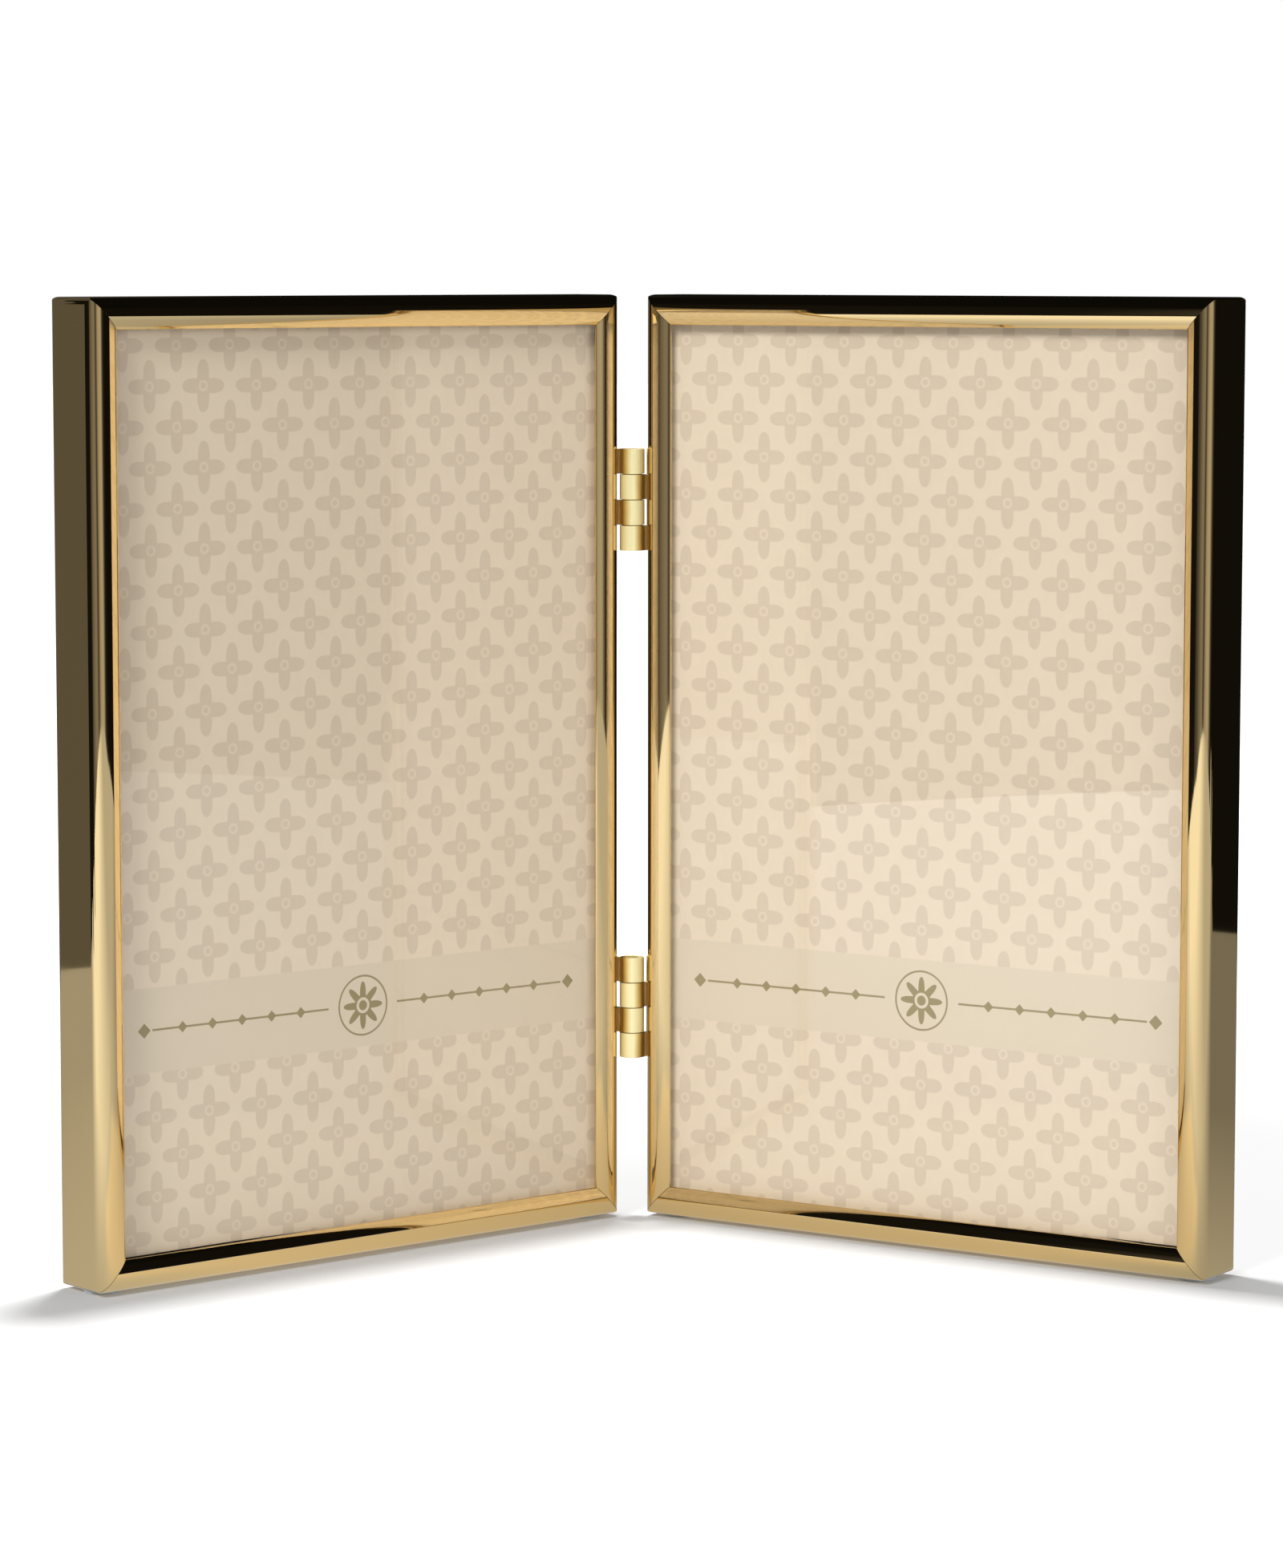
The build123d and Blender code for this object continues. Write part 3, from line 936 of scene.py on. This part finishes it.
def makeLeaf(h):
    # Drawn along X, which becomes the pin's direction
    outer, inner, end = h["barrelRadius"], h["barrelRadius"] - h["strip"], h["height"] / 2
    seam = inner - h["seam"]
    outerEnd = Vector((seam, sqrt(outer**2 - seam**2)))
    innerEnd = Vector((seam, sqrt(inner**2 - seam**2)))
    leaf = penDown("leafPattern", (-end, outer, h["leafWidth"]))
    draw(
        leaf,
        (outer, 0),
        ((0, 0), degrees(atan2(outerEnd.y, outerEnd.x)) - 360, 40),
        tuple(innerEnd),
        ((0, 0), 360 - degrees(atan2(innerEnd.y, innerEnd.x)), 32),
        (inner, h["leafWidth"]),
    )
    closeLoop(leaf)
    bpy.ops.mesh.extrude_region_move(TRANSFORM_OT_translate={"value": (h["height"], 0, 0)})
    bpy.ops.mesh.select_all(action="SELECT")
    bpy.ops.mesh.normals_make_consistent(inside=False)
    far = h["leafWidth"] - h["knuckleGap"]
    pickEdges(leaf, lambda p, q: min(p.z, q.z) > far and abs(p.y - q.y) > h["strip"] / 2)
    bpy.ops.mesh.bevel(offset=h["leafCorner"], segments=7, affect="EDGES")
    bpy.ops.object.mode_set(mode="OBJECT")

    pitch = (h["height"] + h["knuckleGap"]) / h["knuckles"]
    notch = h["notch"]
    tools = [
        block((end - pitch, -notch, -notch), (end + 1, notch, notch)),
        block((end - 3 * pitch, -notch, -notch), (end - 2 * pitch + h["knuckleGap"], notch, notch)),
    ]
    for spot in (-0.5, 0.5):
        place = (spot * h["rivetSpacing"], inner + h["strip"] / 2, h["rivetPlace"])
        tools.append(drill(h["rivetHole"], 2 * h["strip"], place, (pi / 2, 0, 0)))
    cut(leaf, *tools)
    addModifier(leaf, "BEVEL", width=h["rim"], segments=2, limit_method="ANGLE", angle_limit=radians(40))
    applyModifiers(leaf)
    return leaf


def makePin(h):
    end, radius, corner = h["height"] / 2, h["pinRadius"], h["pinRound"]
    return turned(
        "pinPattern",
        (0, end),
        (radius - corner, end),
        ((radius - corner, end - corner), -90, 4),
        (radius, corner - end),
        ((radius - corner, corner - end), -90, 4),
        (0, -end),
    )


def makeLeafRivet(h, grip):
    # Z runs out of the leaf's inner face, and grip is what the rivet holds together
    head, headHeight, headRound = h["rivetHead"]
    shank, tail = h["rivetShank"], -grip - h["rivetTail"]
    return turned(
        "leafRivetPattern",
        (0, headHeight),
        (head - headRound, headHeight),
        ((head - headRound, headHeight - headRound), -90, 5),
        (head, 0),
        (shank, 0),
        (shank, -grip),
        (head, -grip),
        (head, tail),
        (0, tail),
        steps=40,
    )


leafPattern = makeLeaf(hingeSizes)
pinPattern = makePin(hingeSizes)
leafRivetPattern = makeLeafRivet(hingeSizes, hingeSizes["strip"] + railSizes["sheet"])
for hinge, level in hingeSizes["levels"].items():
    for panel, side in sides.items():
        node = f"{hinge}_hinge_{panel}_leaf"
        leaf = copyOf(leafPattern, node + "_rolled")
        settle(leaf, leafMatrix(side, level))
        hand(leaf, panel + "_panel", leafBrass[side], node)
    pin = copyOf(pinPattern, hinge + "_hinge_pin_turned")
    settle(pin, Matrix.Translation((foldAxis.x, foldAxis.y, level * mm)) @ Matrix.Scale(mm, 4))
    hand(pin, "left_panel", hingeBrass, hinge + "_hinge_pin")
upright = Matrix.Rotation(pi / 2, 4, "X")
for panel, side in sides.items():
    rivets = []
    for level in hingeSizes["levels"].values():
        for spot in (-0.5, 0.5):
            along, off = spot * hingeSizes["rivetSpacing"], hingeSizes["barrelRadius"] - hingeSizes["strip"]
            place = Matrix.Translation((along, off, hingeSizes["rivetPlace"]))
            rivet = copyOf(leafRivetPattern, "leafRivet")
            rivets.append(lower(rivet, leafMatrix(side, level) @ place @ upright))
    rivets = joined(panel + "_hinge_rivets_headed", rivets)
    settle(rivets, Matrix.Identity(4))
    hand(rivets, panel + "_panel", hingeBrass, panel + "_hinge_rivets")
for pattern in (leafPattern, pinPattern, leafRivetPattern):
    bpy.data.objects.remove(pattern)
print("hinges pinned")


# Turn buttons on the velvet back, each on its own rivet
buttonSizes = {
    "places": {"outer_upper": (1, 1), "outer_lower": (1, -1), "hinge_upper": (-1, 1), "hinge_lower": (-1, -1)},
    "pivot": (43.6, 38.592),
    "pivotRadius": 3.2,
    "tipRadius": 2.2,
    "reach": 9.5,
    "front": 10.5,
    "thickness": 0.7,
    "edgeRadius": 0.15,
    "hole": 1.3,
    "velvetBack": 10.25,
    "shank": (1.0, 2.4),
    "washer": (2.2, 0.2),
    "pinRadius": 1.25,
    "play": 0.1,
    "head": (2.2, 0.45, 0.3),
    "dimple": (0.9, 0.16),
    "dimpleRim": (0.12, 0.02),
    "dimpleFloor": (0.7, 0.8),  # shares of the dimple's radius and depth
}
drillLength = 3


def makeButton(b):
    # Drawn flat with the tip along Y, thickened along X
    big, small, far = b["pivotRadius"], b["tipRadius"], b["reach"] - b["tipRadius"]
    lean = atan2(sqrt(far**2 - (big - small) ** 2), big - small)
    button = penDown("buttonPattern", (0, big * cos(lean), big * sin(lean)))
    draw(
        button,
        (far + small * cos(lean), small * sin(lean)),
        ((far, 0), -2 * degrees(lean), 28),
        (big * cos(lean), -big * sin(lean)),
        ((0, 0), 2 * degrees(lean) - 360, 36),
    )
    bpy.ops.mesh.select_all(action="SELECT")
    bpy.ops.mesh.remove_doubles(threshold=0.001)
    bpy.ops.mesh.edge_face_add()
    bpy.ops.mesh.extrude_region_move(TRANSFORM_OT_translate={"value": (b["thickness"], 0, 0)})
    bpy.ops.mesh.select_all(action="SELECT")
    bpy.ops.mesh.normals_make_consistent(inside=False)
    bpy.ops.object.mode_set(mode="OBJECT")
    cut(button, drill(b["hole"], drillLength, (0, 0, 0), (0, pi / 2, 0)))
    addModifier(
        button, "BEVEL", width=b["edgeRadius"], segments=3, limit_method="ANGLE", angle_limit=radians(50)
    )
    applyModifiers(button)
    return button


def makeButtonRivet(b):
    # Z runs backwards, from the crown of the rails
    shank, shankLength = b["shank"]
    washer, washerHeight = b["washer"]
    head, headHeight, headRound = b["head"]
    dimple, dimpleDepth = b["dimple"]
    rim, rimDrop = b["dimpleRim"]
    floorWidth, floorDepth = b["dimpleFloor"]
    seat = b["velvetBack"] + washerHeight
    underHead = seat + b["thickness"] + b["play"]
    top = underHead + headHeight
    return turned(
        "buttonRivetPattern",
        (0, top - dimpleDepth),
        (dimple * floorWidth, top - dimpleDepth * floorDepth),
        (dimple, top - rimDrop),
        (dimple + rim, top),
        (head - headRound, top),
        ((head - headRound, top - headRound), -90, 6),
        (head, underHead),
        (b["pinRadius"], underHead),
        (b["pinRadius"], seat),
        (washer, seat),
        (washer, b["velvetBack"]),
        (shank, b["velvetBack"]),
        (shank, b["velvetBack"] - shankLength),
        (0, b["velvetBack"] - shankLength),
    )


buttonPattern = makeButton(buttonSizes)
buttonRivetPattern = makeButtonRivet(buttonSizes)
pivotX, pivotY = buttonSizes["pivot"]
flip = Matrix.Rotation(pi, 4, "X")
for panel, side in sides.items():
    rivets = []
    for place, (px, py) in buttonSizes["places"].items():
        node = f"{panel}_{place}_button"
        tip = side * px
        turn = Matrix(((0, tip, 0), (0, 0, -tip), (-1, 0, 0))).to_4x4()
        pivot = panelMatrix(side) @ Matrix.Translation((tip * pivotX, py * pivotY, 0))
        button = copyOf(buttonPattern, node + "_stamped")
        settle(button, pivot @ Matrix.Translation((0, 0, -buttonSizes["front"])) @ turn)
        hand(button, node, buttonBrass, node)
        rivets.append(lower(copyOf(buttonRivetPattern, "buttonRivet"), pivot @ flip))
    rivets = joined(panel + "_button_rivets_headed", rivets)
    settle(rivets, Matrix.Identity(4))
    hand(rivets, panel + "_panel", buttonBrass, panel + "_button_rivets")
for pattern in (buttonPattern, buttonRivetPattern):
    bpy.data.objects.remove(pattern)
print("buttons riveted")


# Velvet glued over the backing board, its cut edge rolled a little
velvetSizes = {
    "width": 101.6,
    "height": 152.4,
    "thickness": 0.4,
    "front": 9.85,
    "cells": (34, 51),
    "edgeRoll": 0.18,
    "hole": 1.05,
}


def makeVelvet(name, side, v, b):
    letGo()
    bpy.ops.mesh.primitive_grid_add(x_subdivisions=v["cells"][0], y_subdivisions=v["cells"][1], size=1)
    velvet = bpy.context.object
    velvet.scale = (v["width"], v["height"], 1)
    velvet.location = (0, 0, -v["front"])
    fixPlace(velvet)
    edit(velvet)
    bpy.ops.mesh.select_all(action="SELECT")
    bpy.ops.mesh.extrude_region_move(TRANSFORM_OT_translate={"value": (0, 0, -v["thickness"])})
    bpy.ops.mesh.select_all(action="SELECT")
    bpy.ops.mesh.normals_make_consistent(inside=False)
    bpy.ops.object.mode_set(mode="OBJECT")
    pivotX, pivotY = b["pivot"]
    holes = [(px * pivotX, py * pivotY, -v["front"]) for px, py in b["places"].values()]
    cut(velvet, *[drill(v["hole"], drillLength, place) for place in holes])
    addModifier(velvet, "BEVEL", width=v["edgeRoll"], segments=3, limit_method="ANGLE", angle_limit=radians(60))
    applyModifiers(velvet)
    settle(named(velvet, name), panelMatrix(side))
    return velvet


for panel, side in sides.items():
    velvet = makeVelvet(panel + "_velvet_cover_glued", side, velvetSizes, buttonSizes)
    hand(velvet, panel + "_panel", velvetPile, panel + "_velvet_cover")
print("velvet glued on")


# Clear pads under the two bottom corners of each panel
padSizes = {"radius": 3.2, "height": 0.6, "round": 0.28, "inset": 4.2}


def makePad(p):
    radius, top, corner = p["radius"], p["height"], p["round"]
    return turned(
        "padPattern",
        (0, top),
        (radius, top),
        (radius, corner),
        ((radius - corner, corner), -90, 5),
        (0, 0),
        steps=56,
    )


padPattern = makePad(padSizes)
for panel, side in sides.items():
    pads = []
    for way in (-1, 1):
        spot = panelMatrix(side) @ Vector((way * (halfWidth - padSizes["inset"]), 0, -railSizes["depth"] / 2))
        place = Matrix.Translation((spot.x, spot.y, 0)) @ Matrix.Scale(mm, 4)
        pads.append(lower(copyOf(padPattern, "pad"), place))
    pads = joined(panel + "_foot_pads_pressed", pads)
    settle(pads, Matrix.Identity(4))
    hand(pads, panel + "_panel", padPlastic, panel + "_foot_pads")
bpy.data.objects.remove(padPattern)
print("pads pressed on")

bpy.context.scene.view_settings.view_transform = "Standard"
